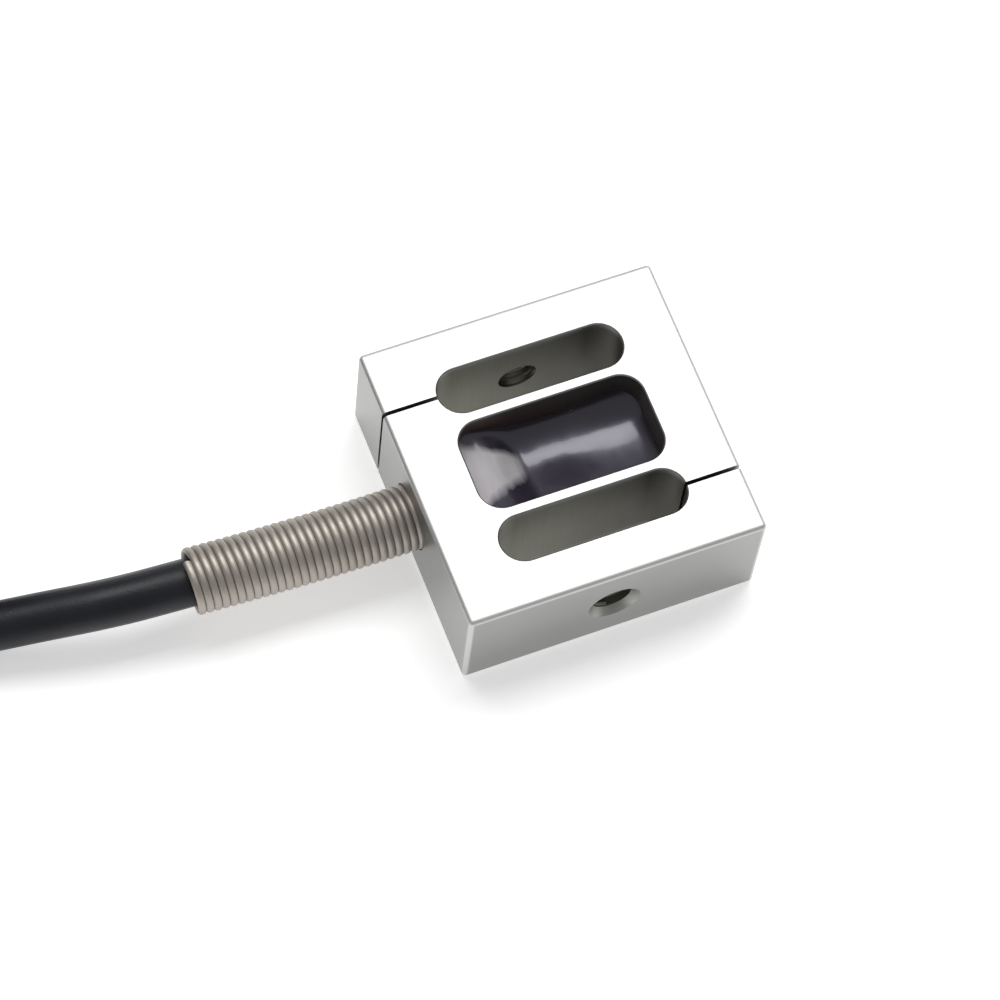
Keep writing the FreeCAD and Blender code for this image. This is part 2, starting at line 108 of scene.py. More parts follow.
class Finish:  # one material and the nodes that feed its shader
    def __init__(self, name, surface):
        self.material = bpy.data.materials.new(name)
        self.material.use_nodes = True
        self.tree = self.material.node_tree
        self.tree.nodes.clear()
        self.shader = self.tree.nodes.new("ShaderNodeBsdfPrincipled")
        output = self.tree.nodes.new("ShaderNodeOutputMaterial")
        self.tree.links.new(self.shader.outputs["BSDF"], output.inputs["Surface"])
        self.feed(surface)

    def give(self, socket, value):
        if isinstance(value, Flow):
            self.tree.links.new(value.socket, socket)
        else:
            socket.default_value = value

    def feed(self, surface):
        for label, value in surface.items():
            self.give(self.shader.inputs[label], value)

    def node(self, kind, settings, inputs, output=None):
        made = self.tree.nodes.new(kind)
        for label, value in settings.items():
            if label == "stops":
                self.setStops(made.color_ramp, value)
            else:
                setattr(made, label, value)
        for label, value in inputs.items():
            self.give(self.pick(made.inputs, label), value)
        return Flow(self, self.pick(made.outputs, output))

    def pick(self, sockets, label):
        ready = [s for s in sockets if not s.is_unavailable]
        if isinstance(label, int):
            return ready[label]
        return ready[0] if label is None else next(s for s in ready if s.name == label)

    def setStops(self, ramp, stops):
        while len(ramp.elements) < len(stops):
            ramp.elements.new(0.5)
        for element, (position, colour) in zip(ramp.elements, stops):
            element.position = position
            element.color = (*colour, 1)

    def calc(self, operation, *values):
        return self.node("ShaderNodeMath", {"operation": operation}, dict(enumerate(values)))

    def spot(self):
        return self.node("ShaderNodeTexCoord", {}, {}, "Object")

    def axis(self, label):
        return self.node("ShaderNodeSeparateXYZ", {}, {"Vector": self.spot()}, label)

    def place(self, scale=(1, 1, 1), turn=(0, 0, 0)):
        return self.node("ShaderNodeMapping", {}, {
            "Vector": self.spot(), "Scale": scale, "Rotation": turn})

    def grain(self, scale, detail=3.0, stretch=(1, 1, 1), turn=(0, 0, 0), roughness=0.5):
        return self.node("ShaderNodeTexNoise", {"noise_dimensions": "3D"}, {
            "Vector": self.place(stretch, turn), "Scale": scale, "Detail": detail,
            "Roughness": roughness})

    def blend(self, amount, first, second):
        return self.node("ShaderNodeMix", {"data_type": "RGBA"}, {
            "Factor": amount, "A": colour(first), "B": colour(second)})

    def ramp(self, amount, stops):
        return self.node("ShaderNodeValToRGB", {"stops": stops}, {"Fac": amount})

    def bump(self, height, distance, strength, under=None):  # under is the bump it lies on
        inputs = {"Height": height, "Distance": distance, "Strength": strength}
        if under is not None:
            inputs["Normal"] = under
        return self.node("ShaderNodeBump", {}, inputs)


def inMm(span):
    return [value * mm for value in span]


def colour(value):  # a typed colour gets the alpha that its socket wants
    return value if isinstance(value, Flow) else (*value, 1)


# Making pieces

def toPiece(name, work, finish, slotName, standsFor=(), sharp=40.0):  # edges above sharp degrees stay crisp
    mesh = bpy.data.meshes.new(name)
    work.to_mesh(mesh)
    work.free()
    mesh.polygons.foreach_set("use_smooth", [True] * len(mesh.polygons))
    mesh.set_sharp_from_angle(angle=math.radians(sharp))
    piece = bpy.data.objects.new(name, mesh)
    return settle(piece, finish, slotName, standsFor)


def settle(piece, finish, slotName, standsFor=()):
    bpy.context.scene.collection.objects.link(piece)
    piece.data.materials.append(finish.material)
    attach(piece, "root")
    if standsFor:
        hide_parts(*standsFor)
    return piece


def dressNode(name, finish):
    materials = nodes[name].data.materials
    for index in range(len(materials)):
        materials[index] = finish.material
    if not materials:
        materials.append(finish.material)


def splineCurve(name, points, diameter, smoothness, rounds):
    data = bpy.data.curves.new(name, "CURVE")
    data.dimensions = "3D"
    spline = data.splines.new("NURBS")
    spline.points.add(len(points) - 1)
    for spot, point in zip(spline.points, points):
        spot.co = (*(Vector(point) * mm), 1)
    spline.order_u = 3
    spline.use_endpoint_u = True
    spline.resolution_u = smoothness
    data.resolution_u = smoothness
    data.bevel_depth = diameter * mm / 2
    data.bevel_resolution = rounds
    data.use_fill_caps = True
    return bpy.data.objects.new(name, data)


def linePoints(curve):  # points of a route's own line, in millimetres
    thin = curve.copy()
    thin.data = curve.data.copy()
    thin.data.bevel_depth = 0
    bpy.context.scene.collection.objects.link(thin)
    bpy.context.view_layer.update()
    graph = bpy.context.evaluated_depsgraph_get()
    mesh = bpy.data.meshes.new_from_object(thin.evaluated_get(graph))
    points = [v.co / mm for v in mesh.vertices]
    bpy.data.objects.remove(thin)
    return points


# The cable: out of the block, through the relief spring, down to the surface, into a neat coil
# and on to its bare end

cableSizes = {
    "diameter": 3.0,
    "length": 2000.0,
    "lead": [(-4.65, 0, 4), (-9.0, 0, 4), (-14.0, 0.02, 4), (-19.0, 0.16, 4), (-23.9, 0.42, 4),
             (-28.4, 0.7, 3.9), (-34.7, 1.95, 3.0), (-41.55, 3.24, 1.5)],
    "smoothness": 6,  # steps of the line between two points
    "rounds": 5,
    "coilPlace": (-51.2, 25.2),
    "coilTurn": -7.0,  # degrees clockwise
    "beside": 23.0,  # radius at which the cable comes up beside the coil
    "joinAngle": -90,  # degrees round the coil, where it comes up
    "ringMiddle": 15.5,
    "columns": 4,
    "rows": 5,
    "pointsPerTurn": 20,
    "runIn": 0.75,  # how far the line runs inside its points, as a share
    "overlap": 0.25,  # turns past the last whole one
    "shiftAngle": 34.0,  # degrees over which a turn moves to the next place
    "tieAngle": 45.0,
    "squeeze": (0.933, 0.917),  # across and up, where the tie holds the turns
    "squeezeWidth": 13.0,  # degrees
    "squeezeLift": 0.2,
    "tail": [(-14.0, 0, 16.5), (-14.0, 4.2, 16.5), (-12.6, 8.4, 16.9), (-9.9, 11.9, 16.9)],
}


def ease(amount):  # 0 to 1, slow at both ends
    amount = min(max(amount, 0.0), 1.0)
    return amount * amount * (3 - 2 * amount)


def coilSpot(cable, across, up, angle):  # angle is in the coil's own frame, in degrees
    turned = math.radians(angle - cable["coilTurn"])
    x, y = cable["coilPlace"]
    return (x + across * math.cos(turned), y + across * math.sin(turned), up)


def cellPlace(cable, cell):  # how far out and how high a turn in that column and row lies
    column, row = cell
    pitch = cable["diameter"]
    return cable["ringMiddle"] + (column - (cable["columns"] + 1) / 2) * pitch, (row - 0.5) * pitch


def windingOrder(cable):  # places filled by one turn each, layer on layer from the outside in
    columns, rows = cable["columns"], cable["rows"]
    order, starts = [], []
    for row in range(1, rows + 1):
        across = range(columns, 0, -1) if row % 2 else range(1, columns + 1)
        order += [(column, row) for column in across]
    run = 0
    for number in range(1, len(order)):
        run += 1 if number == 1 or number % columns in (0, 1) else 0
        starts.append(360 * number - run * cable["shiftAngle"])
    return order, starts, run


def coilRoute(cable):
    order, starts, runs = windingOrder(cable)
    perTurn, shift, size = cable["pointsPerTurn"], cable["shiftAngle"], cable["diameter"]
    total = round(perTurn * (len(starts) + cable["overlap"]))
    climb = 360 * len(starts) + 360 - (runs + 1) * shift
    bulge = 1 / (1 - cable["runIn"] * (1 - math.cos(math.pi / perTurn)))
    sideways, upward = cable["squeeze"]
    middle = cable["rows"] * size / 2
    route = []
    for step in range(1, total):
        travel = 360 * step / perTurn
        across, up = cellPlace(cable, order[0])
        for start, (before, after) in zip(starts, zip(order, order[1:])):
            share = ease((travel - start) / shift)
            (a, b), (c, d) = cellPlace(cable, before), cellPlace(cable, after)
            across, up = across + (c - a) * share, up + (d - b) * share
        across += (cable["beside"] - across) * (1 - ease(travel / shift))
        roll = ease((travel - climb) / shift) * math.pi / 2  # the last turn rolls up onto the others
        across += size * (1 - math.cos(roll))
        up += size * math.sin(roll)
        angle = cable["joinAngle"] - travel
        away = (angle - cable["tieAngle"] - cable["coilTurn"] + 180) % 360 - 180
        pull = math.exp(-(away / cable["squeezeWidth"]) ** 2)
        across = cable["ringMiddle"] + (across - cable["ringMiddle"]) * (1 + (sideways - 1) * pull)
        up = middle + cable["squeezeLift"] * pull + (up - middle) * (1 + (upward - 1) * pull)
        route.append(coilSpot(cable, across * bulge, up, angle))
    return route


def turnedPoint(cable, point):  # from the coil's own frame
    x, y, z = point
    return coilSpot(cable, math.hypot(x, y), z, math.degrees(math.atan2(y, x)))


def addCable(cable):
    joint = coilSpot(cable, cable["beside"], cable["diameter"] / 2, cable["joinAngle"])
    tail = [turnedPoint(cable, point) for point in cable["tail"]]
    route = cable["lead"] + [joint] + coilRoute(cable) + tail
    curve = splineCurve("cable", route, cable["diameter"], cable["smoothness"], cable["rounds"])
    return curve, route


def jacketFinish():
    finish = Finish("cable_jacket", {"IOR": 1.5, "Specular IOR Level": 0.3})
    mottle = finish.grain(420, 4)
    fine = finish.grain(5200, 3)
    scuffs = finish.grain(160, 5, (1, 1, 3)).spread(0.52, 0.7)
    finish.feed({
        "Base Color": finish.blend(mottle, (0.006, 0.007, 0.010), (0.012, 0.013, 0.018)),
        "Roughness": 0.33 + 0.14 * mottle + 0.1 * scuffs,
        "Normal": finish.bump(fine, 0.00004, 0.35, finish.bump(mottle, 0.0002, 0.2)),
    })
    return finish


jacket = jacketFinish()
cable, cableRoute = addCable(cableSizes)
settle(cable, jacket, "jacket", ("cable_entry", "cable_lead", "cable_coil", "cable_tail"))
cableLine = linePoints(cable)
print("cable ready:", len(cableRoute), "route points")


# The block

blockSizes = {
    "halfWidth": 9.6,
    "halfHeight": 9.5,
    "thick": 8.0,
    "wallDepth": (0.08, 0.6),  # this far in, a face is a wall of a slot, slit, window or hole
    "rubbedHighlight": (0.2, 0.34),  # this close to two outer faces, an edge is rubbed rougher and painted lighter: wear and a painted highlight
    "windowSide": (3.1, 3.3),  # from the middle line, where the window ends and the slots begin
    "slotShadeSpan": (-3.5, 5.5),  # along a slot, over which a painted shade darkens its walls
    "filmDrift": 3,
    "brownTintSpan": (-4, 4),  # along the window, over which its walls' red-brown tint fades out towards the right
    "brownTintDrift": 6,
    "threadLow": 6.72,
    "threadHigh": 9.0,
    "threadPitch": 0.5,
    "threadHalf": 0.42,  # half a ridge's foot, as a share of the pitch
    "threadFlat": 0.15,  # half its crest, as a share of that
    "threadRoot": 1.262,
    "threadCrest": 1.13,
    "threadSteps": 48,  # to a turn
}


def steelFinish(block):
    finish = Finish("block_steel", {"Metallic": 1.0, "Specular IOR Level": 0.5})
    x, y, z = map(finish.axis, "XYZ")
    fromEnds = block["halfWidth"] * mm - abs(x)
    fromTop = block["halfHeight"] * mm - abs(y)
    fromFaces = z.atMost(block["thick"] * mm - z)
    nearest = fromEnds.atMost(fromTop).atMost(fromFaces)
    secondNearest = fromEnds.atMost(fromTop).atLeast(fromEnds.atLeast(fromTop).atMost(fromFaces))
    inner = nearest.spread(*inMm(block["wallDepth"]))
    wornHighlight = secondNearest.spread(*inMm(block["rubbedHighlight"]), 1, 0)
    inSlots = abs(y).spread(*inMm(block["windowSide"]))
    inWindow = abs(y).spread(*inMm(block["windowSide"]), 1, 0)
    fine = finish.grain(3800, 3)
    drift = finish.grain(190, 4, roughness=0.55)
    ground = finish.grain(900, 3, (0.12, 6, 6))
    cut = finish.grain(1500, 3, (6, 6, 0.15))
    # painted shade: the slot walls grow darker towards their right ends
    slotShadeEdge = x + (drift - 0.5) * (block["filmDrift"] * mm)
    film = slotShadeEdge.spread(*inMm(block["slotShadeSpan"])) * inSlots
    # the window walls turn red-brown, most at the left end
    brownTintEdge = x + (drift - 0.5) * (block["brownTintDrift"] * mm)
    brownTint = brownTintEdge.spread(*inMm(block["brownTintSpan"]), 1, 0) * inWindow
    outerColour = finish.blend(drift, (0.30, 0.302, 0.295), (0.36, 0.362, 0.352))
    # edges: rougher from wear, and a lighter colour that is a painted highlight
    outerColour = finish.blend(wornHighlight, outerColour, (0.62, 0.62, 0.61))
    # inner walls: their cut grain, in a darker olive tone than the outer faces, which is painted shade
    cutShadeColour = finish.blend(cut, (0.26, 0.255, 0.21), (0.34, 0.335, 0.285))
    cutShadeColour = finish.blend(film, cutShadeColour, (0.13, 0.125, 0.11))
    cutShadeColour = finish.blend(brownTint * 0.6, cutShadeColour, (0.20, 0.105, 0.095))
    finish.feed({
        "Base Color": finish.blend(inner, outerColour, cutShadeColour),
        "Roughness": 0.29 + 0.08 * drift + 0.05 * ground + inner * 0.1 + wornHighlight * 0.16,
        "Normal": finish.bump(fine, 0.00002, 0.2, finish.bump(ground, 0.00002, 0.25)),
    })
    return finish


steel = steelFinish(blockSizes)
dressNode("flexure_body", steel)


def helix(work, ring, centre, axis, turns, stepsPerTurn, pitch):
    edges = list({edge for vert in ring for edge in vert.link_edges})
    bmesh.ops.spin(work, geom=list(ring) + edges, cent=centre, axis=axis,
                   dvec=Vector(axis) * pitch / stepsPerTurn, angle=2 * math.pi * turns,
                   steps=round(turns * stepsPerTurn), use_merge=False)
    bmesh.ops.holes_fill(work, edges=[edge for edge in work.edges if edge.is_boundary], sides=0)
    bmesh.ops.recalc_face_normals(work, faces=work.faces)


def addThread(name, side, block, finish):  # one ridge, wound up from its four corners
    work = bmesh.new()
    pitch, low, middle = block["threadPitch"], block["threadLow"], block["thick"] / 2
    root, crest, flat = block["threadRoot"], block["threadCrest"], block["threadFlat"]
    half = pitch * block["threadHalf"]
    corners = [(root, low), (crest, low + half * (1 - flat)), (crest, low + half * (1 + flat)),
               (root, low + half * 2)]
    ring = [work.verts.new(Vector((radius, side * along, middle)) * mm) for radius, along in corners]
    for first, second in zip(ring, ring[1:] + ring[:1]):
        work.edges.new((first, second))
    turns = (block["threadHigh"] - low - half * 2) / pitch
    centre = Vector((0, 0, middle)) * mm
    helix(work, ring, centre, (0, side, 0), turns, block["threadSteps"], pitch * mm)
    return toPiece(name, work, finish, "body_steel")


addThread("thread_upper", 1, blockSizes, steel)
addThread("thread_lower", -1, blockSizes, steel)
print("block ready")


# The potting in the window: a resin trough, drawn up the walls, over its flatter back face

pottingSizes = {
    "halfLength": 6.0,
    "halfWidth": 3.0,
    "corner": 1.5,
    "cells": (150, 100),
    "frontLow": 5.25,  # height of the resin on the upper long wall at its lowest
    "lowX": 0.7,
    "sweep": 11.0,  # radius of its rise from there
    "trough": 4.47,  # its lowest line, between the walls
    "troughY": 0.9,
    "troughRise": 0.02,
    "nearSlope": 0.36,  # up to the lower long wall
    "nearSoft": (0.9, 2.1, 3.0),  # how softly it begins at the middle, what the ends add, over what length
    "mound": 6.15,  # over the crimp sleeve
    "moundSpan": (-4.62, -1.7),
    "lip": (0.22, 0.15),  # how high and how wide the resin is drawn up the upper long wall
    "endRise": (0.35, 16),  # how high the resin climbs the end walls, and how steeply
    "wrinkle": 0.018,
    "frontFolds": [(1.0, 1.1, 0.5, 3.1), (0.3, 2.4, 0.9, 8.7)],  # share, along, across, seed
    "frontFade": (10, 6),  # how soon the folds fade at the end walls and at the long walls
    "backRim": 0.8,
    "backDip": (0.55, 6, 3),  # depth, and how flat it is along and across
    "backWrinkle": 0.04,
    "backFolds": [(1.0, 0.8, 1.4, 21.0)],
    "backFade": (10, 5),
    "sealant": (-2.7, -1.6),  # a painted highlight, pale towards the cable from here
    "sealantDrift": 2.2,
    "sealantHeight": (4.4, 4.6),
    "sealantFrom": -5.0,  # its two sides slope in from here
    "sealantUpper": (-0.27, 1.8, 2.3),  # slope of its upper side, and where it fades out there
    "sealantLower": (0.62, -2.2, -1.4),
}


def resinFinish(potting):
    finish = Finish("potting_resin", {"IOR": 1.6, "Specular IOR Level": 0.6, "Coat Roughness": 0.12,
                                      "Coat IOR": 1.5, "Specular Tint": (0.88, 0.86, 1.0, 1)})
    x, y, z = map(finish.axis, "XYZ")
    cloud = finish.grain(420, 3, (1, 1.6, 1), roughness=0.5)
    streaks = finish.grain(700, 3, (1.6, 0.35, 1), (0, 0, 0.3))
    upperSlope, *upperFade = potting["sealantUpper"]
    lowerSlope, *lowerFade = potting["sealantLower"]
    # painted highlight: a pale patch on the resin over the crimp sleeve, less glossy there
    ragged = x + (streaks - 0.5) * (potting["sealantDrift"] * mm)
    onward = ragged - potting["sealantFrom"] * mm
    paintedSheen = ragged.spread(*inMm(potting["sealant"]), 1, 0) * z.spread(*inMm(potting["sealantHeight"]))
    paintedSheen = paintedSheen * (y - upperSlope * onward).spread(*inMm(upperFade), 1, 0)
    paintedSheen = paintedSheen * (y - lowerSlope * onward).spread(*inMm(lowerFade)) * (0.45 + 0.5 * streaks)
    dark = finish.ramp(cloud, [(0.25, (0.011, 0.010, 0.016)), (0.55, (0.018, 0.014, 0.028)),
                               (0.8, (0.026, 0.016, 0.026))])
    finish.feed({
        "Base Color": finish.blend(paintedSheen, dark, (0.52, 0.50, 0.51)),
        "Roughness": 0.24 + 0.1 * cloud + 0.5 * paintedSheen,
        "Coat Weight": 0.6 - 0.9 * paintedSheen,
        "Normal": finish.bump(cloud, 0.0001, 0.12, finish.bump(streaks, 0.0001, 0.08)),
    })
    return finish


def folds(x, y, layers):
    return sum(share * noise.noise(Vector((x * along, y * across, seed)))
               for share, along, across, seed in layers)


def shares(x, y, potting):  # how far out towards the end walls and the long walls
    return min(abs(x) / potting["halfLength"], 1), min(abs(y) / potting["halfWidth"], 1)


def fade(along, across, soon):  # 1 inside, 0 at the walls
    return min(1.0, (1 - across) * soon[1], (1 - along) * soon[0])


def frontHeight(x, y, potting):
    sweep, lowX, middle = potting["sweep"], potting["lowX"], potting["troughY"]
    wall = potting["frontLow"] + sweep - math.sqrt(sweep ** 2 - (x - lowX) ** 2)
    line = potting["trough"] + potting["troughRise"] * (x - lowX) ** 2
    over, past = potting["moundSpan"]
    line += (potting["mound"] - line) * ease((past - x) / (past - over))
    if y > middle:
        high, wide = potting["lip"]
        rise = (wall - high - line) * ((y - middle) / (potting["halfWidth"] - middle)) ** 2
        rise += high * math.exp((y - potting["halfWidth"]) / wide)
    else:
        least, more, reach = potting["nearSoft"]
        soft = least + more * (1 - math.exp(-(x / reach) ** 2))
        rise = potting["nearSlope"] * (math.hypot(middle - y, soft) - soft)
    along, across = shares(x, y, potting)
    climb, steepness = potting["endRise"]
    creases = folds(x, y, potting["frontFolds"]) * fade(along, across, potting["frontFade"])
    return line + rise + climb * along ** steepness + potting["wrinkle"] * creases


def backHeight(x, y, potting):
    along, across = shares(x, y, potting)
    depth, flatAlong, flatAcross = potting["backDip"]
    dip = depth * (1 - across ** flatAcross) * (1 - along ** flatAlong)
    creases = folds(x, y, potting["backFolds"]) * fade(along, across, potting["backFade"])
    return potting["backRim"] + dip + potting["backWrinkle"] * creases


def addSheet(work, potting, height):
    lengthwise, crosswise = potting["cells"]
    made = bmesh.ops.create_grid(work, x_segments=lengthwise, y_segments=crosswise, size=1)
    corner = potting["corner"]
    for vert in made["verts"]:
        x, y = vert.co.x * potting["halfLength"], vert.co.y * potting["halfWidth"]
        overX = max(abs(x) - (potting["halfLength"] - corner), 0)
        overY = max(abs(y) - (potting["halfWidth"] - corner), 0)
        if overX > 0 and overY > 0:  # the square corner is drawn in to a round one
            pull = max(overX, overY) / math.hypot(overX, overY)
            x -= math.copysign(overX * (1 - pull), x)
            y -= math.copysign(overY * (1 - pull), y)
        vert.co = Vector((x, y, height(x, y, potting))) * mm
    edges = {edge for vert in made["verts"] for edge in vert.link_edges}
    return [edge for edge in edges if edge.is_boundary]


def addPotting(potting, finish):
    work = bmesh.new()
    front = addSheet(work, potting, frontHeight)
    back = addSheet(work, potting, backHeight)
    bmesh.ops.bridge_loops(work, edges=front + back)
    bmesh.ops.recalc_face_normals(work, faces=work.faces)
    return toPiece("potting", work, finish, "potting", ("potting_compound",), 60)


addPotting(pottingSizes, resinFinish(pottingSizes))
print("potting ready")


# The relief spring, wound close round the cable

springSizes = {
    "wire": 0.48,
    "pitch": 0.5,
    "outer": 4.2,
    "flat": (1.04, 0.72),  # pressed coil to coil: how much wider and how much lower
    "start": -8.4,
    "end": -23.9,
    "middle": 4.0,
    "sides": 10,
    "stepsPerTurn": 48,
}


def springFinish():
    finish = Finish("spring_steel", {"Metallic": 1.0})
    drift = finish.grain(300, 3)
    drawn = finish.grain(2400, 3, (0.6, 3, 3))
    finish.feed({
        "Base Color": finish.blend(drift, (0.38, 0.348, 0.31), (0.48, 0.443, 0.40)),
        "Roughness": 0.46 + 0.14 * drawn,
        "Normal": finish.bump(drawn, 0.00003, 0.3),
    })
    return finish


def lineAt(line, x):  # where the cable's line first crosses that x on its way out
    for first, second in zip(line, line[1:]):
        if second.x <= x <= first.x and first.x > second.x:
            return first.lerp(second, (first.x - x) / (first.x - second.x))
    return line[0]


def addSpring(spring, finish, line):
    work = bmesh.new()
    wireRadius = spring["wire"] / 2
    start = spring["start"] - wireRadius
    hub = Vector((start, 0, spring["middle"]))
    wider, lower = spring["flat"]
    seat = hub + Vector((0, 0, spring["outer"] / 2 - wireRadius * lower))
    facing = Matrix.Translation(seat * mm) @ Matrix.Rotation(math.pi / 2, 4, "X")
    ring = bmesh.ops.create_circle(work, segments=spring["sides"], radius=wireRadius * mm,
                                   matrix=facing)["verts"]
    bmesh.ops.scale(work, vec=(wider, 1, lower), space=Matrix.Translation(-seat * mm), verts=ring)
    turns = (start - spring["end"] - wireRadius) / spring["pitch"]
    helix(work, ring, hub * mm, (-1, 0, 0), turns, spring["stepsPerTurn"], spring["pitch"] * mm)
    for vert in work.verts:  # it bows a little with the cable inside it
        spot = lineAt(line, vert.co.x / mm)
        vert.co.y += spot.y * mm
        vert.co.z += (spot.z - spring["middle"]) * mm
    return toPiece("spring", work, finish, "spring_steel", ("relief_spring",))


springPiece = addSpring(springSizes, springFinish(), cableLine)
print("spring ready")


# The coil's tie

tieSizes = {
    "inner": 9.1,
    "outer": 21.9,
    "height": 15.4,
    "thick": 0.7,
    "width": 2.6,
    "round": 1.5,
    "rimRound": 0.12,
    "headWidth": 4.0,
    "headThick": 2.4,
    "headRound": 0.45,
    "mouthRim": 0.75,  # left round the strap's way through the head
    "mouthDepth": 0.5,
    "crisp": 1.2,  # radians: edges bent more than this are rounded
}


def tieFinish():
    finish = Finish("tie_nylon", {"IOR": 1.53})
    cloud = finish.grain(700, 3)
    fine = finish.grain(4200, 2)
    finish.feed({
        "Base Color": finish.blend(cloud, (0.014, 0.014, 0.015), (0.03, 0.03, 0.032)),
        "Roughness": 0.32 + 0.18 * cloud,
        "Normal": finish.bump(fine, 0.00003, 0.3),
    })
    return finish


def roundOff(work, edges, offset, segments):
    bmesh.ops.bevel(work, geom=edges, offset=offset * mm, offset_type="OFFSET", segments=segments,
                    profile=0.5, affect="EDGES", material=-1)


def addStrap(work, tie, length):  # a rounded loop, laid flat round its own middle
    loop = bmesh.ops.create_grid(work, x_segments=1, y_segments=1, size=0.5)["verts"]
    bmesh.ops.scale(work, vec=(length * mm, tie["height"] * mm, 1), verts=loop)
    bmesh.ops.bevel(work, geom=loop, offset=tie["round"] * mm, offset_type="OFFSET", segments=6,
                    profile=0.5, affect="VERTICES", material=-1)
    hole = bmesh.ops.inset_region(work, faces=work.faces[:], thickness=tie["thick"] * mm,
                                  use_even_offset=True, use_boundary=True)
    inner = [face for face in work.faces if face not in hole["faces"]]
    bmesh.ops.delete(work, geom=inner, context="FACES_ONLY")
    lift = bmesh.ops.extrude_face_region(work, geom=work.faces[:])
    raised = [item for item in lift["geom"] if isinstance(item, bmesh.types.BMVert)]
    bmesh.ops.translate(work, vec=(0, 0, tie["width"] * mm), verts=raised)
    bmesh.ops.recalc_face_normals(work, faces=work.faces)
    rims = [edge for edge in work.edges if edge.is_manifold and edge.calc_face_angle(0) > tie["crisp"]]
    roundOff(work, rims, tie["rimRound"], 2)
    bmesh.ops.translate(work, vec=(0, 0, -tie["width"] / 2 * mm), verts=work.verts)


def addTieHead(work, tie, length):  # with the strap's way through it
    head = bmesh.ops.create_cube(work, size=1)["verts"]
    size = Vector((tie["headThick"], tie["headWidth"], tie["headWidth"]))
    outward = length / 2 - tie["thick"] / 2 + tie["headThick"] / 2
    bmesh.ops.scale(work, vec=size * mm, verts=head)
    bmesh.ops.translate(work, vec=(outward * mm, 0, 0), verts=head)
    for face in {face for vert in head for face in vert.link_faces}:
        if abs(face.normal.y) > 0.9:  # the two faces that the strap runs through
            bmesh.ops.inset_region(work, faces=[face], thickness=tie["mouthRim"] * mm, use_even_offset=True)
            bmesh.ops.translate(work, vec=face.normal * -tie["mouthDepth"] * mm, verts=face.verts)
    edges = {edge for vert in head for edge in vert.link_edges}
    outer = [edge for edge in edges if edge.calc_face_angle(0) > tie["crisp"]
             and all(vert in head for vert in edge.verts)]
    roundOff(work, outer, tie["headRound"], 3)


def addTie(tie, finish, cable):
    work = bmesh.new()
    length = tie["outer"] - tie["inner"]
    addStrap(work, tie, length)
    addTieHead(work, tie, length)
    x, y = cable["coilPlace"]
    middle = (tie["inner"] + tie["outer"]) / 2
    coil = Matrix.Translation(Vector((x, y, tie["height"] / 2)) * mm)
    radial = Matrix.Rotation(math.radians(cable["tieAngle"]), 4, "Z")
    outward = Matrix.Translation(Vector((middle, 0, 0)) * mm)
    upright = Matrix.Rotation(math.pi / 2, 4, "X")
    bmesh.ops.transform(work, matrix=coil @ radial @ outward @ upright, verts=work.verts)
    return toPiece("tie", work, finish, "tie", ("coil_tie",))


tiePiece = addTie(tieSizes, tieFinish(), cableSizes)
print("tie ready")


# The bare end: heat-shrink, four cores and their tinned tips

endSizes = {
    "shrinkRadius": 1.9,
    "shrinkBore": 1.52,
    "shrinkEnd": 1.3,
    "shrinkLap": 2.4,
    "shoulder": 1.5,
    "shrinkReach": 6.0,
    "neck": [(1.66, 2.4), (1.52, 3.3), (1.42, 4.2), (1.36, 5.1)],  # radius and place along it
    "lobes": 0.055,  # how far it is drawn in between the cores, as a share
    "wrinkle": 0.012,
    "coreDiameter": 0.7,
    "coreGap": 0.5,
    "coreStart": 1.4,  # inside the shrink's end
    "coreLength": 14.0,
    "coreTurns": (90, 75, 105, 120),  # degrees
    "coreSides": (-1, -1, 1, 1),
    "coreBends": (0, 0.3, 0.6, 0.85, 1),  # how much of its turn a core has made at each point
    "upperHeights": (0.35, -0.3, -1.05),
    "lowerHeights": (-0.9, -1.45),
    "coreSmoothness": 10,
    "coreRounds": 4,
    "tipDiameter": 0.45,
    "tipSides": 42,
    "tipLength": 4.0,
    "tipLap": 0.3,
    "tipSteps": 22,
    "tipTwist": 17,  # degrees a step
}

coreColours = {
    "red": ((0.36, 0.012, 0.012), (0.47, 0.022, 0.018)),
    "black": ((0.010, 0.010, 0.011), (0.022, 0.022, 0.024)),
    "green": ((0.012, 0.17, 0.045), (0.02, 0.24, 0.07)),
    "white": ((0.68, 0.67, 0.63), (0.78, 0.77, 0.74)),
}


def insulationFinish(name, tones):
    finish = Finish(name, {"IOR": 1.5})
    cloud = finish.grain(900, 3)
    fine = finish.grain(5200, 2)
    finish.feed({
        "Base Color": finish.blend(cloud, *tones),
        "Roughness": 0.34 + 0.14 * cloud,
        "Normal": finish.bump(fine, 0.00003, 0.25),
    })
    return finish


def shrinkFinish():
    finish = Finish("shrink_sleeve", {"IOR": 1.5})
    cloud = finish.grain(650, 4)
    fine = finish.grain(3600, 3)
    finish.feed({
        "Base Color": finish.blend(cloud, (0.008, 0.008, 0.009), (0.02, 0.02, 0.022)),
        "Roughness": 0.46 + 0.2 * cloud,
        "Normal": finish.bump(fine, 0.00005, 0.35),
    })
    return finish


def tinnedFinish():
    finish = Finish("tinned_copper", {"Metallic": 1.0})
    cloud = finish.grain(2200, 3)
    finish.feed({
        "Base Color": finish.blend(cloud, (0.56, 0.56, 0.55), (0.72, 0.72, 0.70)),
        "Roughness": 0.22 + 0.2 * cloud,
        "Normal": finish.bump(cloud, 0.00005, 0.4),
    })
    return finish


def endFrame(line):  # where the jacket stops: X to its right, Y onwards, Z up
    heading = (line[-1] - line[-8]).normalized()  # over its last few points
    right = heading.cross(Vector((0, 0, 1))).normalized()
    up = right.cross(heading)
    stand = Matrix((right, heading, up)).transposed().to_4x4()
    return Matrix.Translation(line[-1]) @ stand


